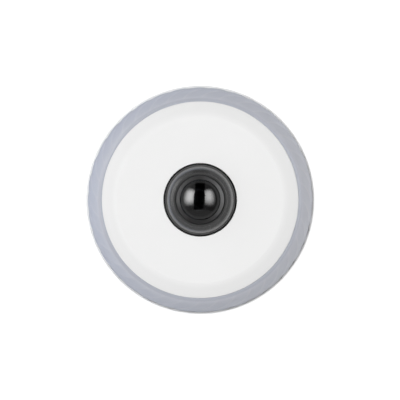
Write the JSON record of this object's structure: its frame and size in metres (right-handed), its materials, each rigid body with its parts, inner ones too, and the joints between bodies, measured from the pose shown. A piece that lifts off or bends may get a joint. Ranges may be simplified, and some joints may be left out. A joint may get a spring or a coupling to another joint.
{
  "type": "fisheye ip camera",
  "caption": "Round panoramic network camera for a ceiling, with a domed lens, a faceted band and a twist-on mounting plate.",
  "frame": {"origin": "centre of the mounting plate's back face, on the lens axis, in the plane of the ceiling", "axes": "+Z out along the lens axis, away from the ceiling; +Y towards the top of the front view; +X to the right in the front view"},
  "size_m": [0.11, 0.11, 0.049],
  "materials": {
    "plate_steel": "zinc-plated, satin",
    "cast_paint": "fine textured paint",
    "band_plastic": "satin, slightly translucent silver",
    "cover_plastic": "fine matt grain",
    "gasket_rubber": "matt",
    "screw_steel": "plated",
    "trim_gloss": "semi-gloss",
    "lens_anodised": "black anodised",
    "lens_glass": "coated, polished",
    "black_plastic": "matt",
    "filter_cyan": "coated",
    "filter_clear": "polished",
    "magnet": "matt",
    "copper_wire": "enamelled",
    "sensor_ceramic": "matt",
    "circuit_board": "solder mask, satin",
    "brass": "satin",
    "connector_plastic": "matt",
    "chip_plastic": "matt",
    "pad_silicone": "soft, matt",
    "can_aluminium": "satin",
    "jack_shell": "tinned",
    "plunger_plastic": "matt"
  },
  "bodies": {
    "mount": {"mounting_plate": "plate_steel"},
    "camera": {"rear_housing": "cast_paint", "side_ring": "band_plastic", "front_cover": "cover_plastic", "cover_gasket": "gasket_rubber", "housing_screws": "screw_steel", "lens_trim_ring": "trim_gloss", "lens_seal": "gasket_rubber", "lens_retaining_ring": "lens_anodised", "front_lens": "lens_glass", "lens_barrel": "lens_anodised", "second_lens": "lens_glass", "front_spacer": "lens_anodised", "third_lens": "lens_glass", "aperture_stop": "lens_anodised", "middle_spacer": "lens_anodised", "fourth_lens": "lens_glass", "rear_spacer": "lens_anodised", "crown_lens": "lens_glass", "flint_lens": "lens_glass", "rear_lens_ring": "lens_anodised", "focus_lock_ring": "lens_anodised", "lens_holder": "black_plastic", "lens_holder_screws": "screw_steel", "filter_housing": "black_plastic", "rotor_core": "screw_steel", "rotor_coil": "copper_wire", "image_sensor": "sensor_ceramic", "sensor_glass": "filter_clear", "sensor_board": "circuit_board", "sensor_board_spacers": "brass", "sensor_board_screws": "screw_steel", "board_connector": "connector_plastic", "main_board": "circuit_board", "board_screws": "screw_steel", "processor": "chip_plastic", "thermal_pad": "pad_silicone", "memory_chips": "chip_plastic", "power_transformer": "magnet", "capacitors": "can_aluminium", "network_magnetics": "chip_plastic", "memory_card_socket": "jack_shell", "network_jack": "jack_shell", "network_contacts": "brass", "power_jack": "black_plastic", "power_jack_pin": "jack_shell", "reset_switch": "black_plastic"},
    "filter_slide": {"filter_slide": "black_plastic", "ir_cut_filter": "filter_cyan", "clear_filter": "filter_clear"},
    "filter_rotor": {"filter_rotor": "magnet"},
    "reset_button": {"reset_button": "black_plastic", "reset_switch_plunger": "plunger_plastic"}
  },
  "joints": [
    {"name": "twist_lock", "type": "hinge", "parent": "mount", "child": "camera", "pos_m": [0, 0, 0], "axis": [0, 0, 1], "range_deg": [0, 24]},
    {"name": "rotor_turn", "type": "hinge", "parent": "camera", "child": "filter_rotor", "pos_m": [0, 0.0101, 0.0275], "axis": [0, 0, 1], "range_deg": [0, 70]},
    {"name": "filter_shift", "type": "slide", "parent": "camera", "child": "filter_slide", "axis": [1, 0, 0], "range_m": [0, 0.007]},
    {"name": "reset_press", "type": "slide", "parent": "camera", "child": "reset_button", "axis": [0, 0, 1], "range_m": [0, 0.0003], "stiffness_N_per_m": 5000}
  ],
  "couplings": [
    {"joint": "rotor_turn", "follows": "filter_shift", "rad_per_m": 174.53}
  ]
}
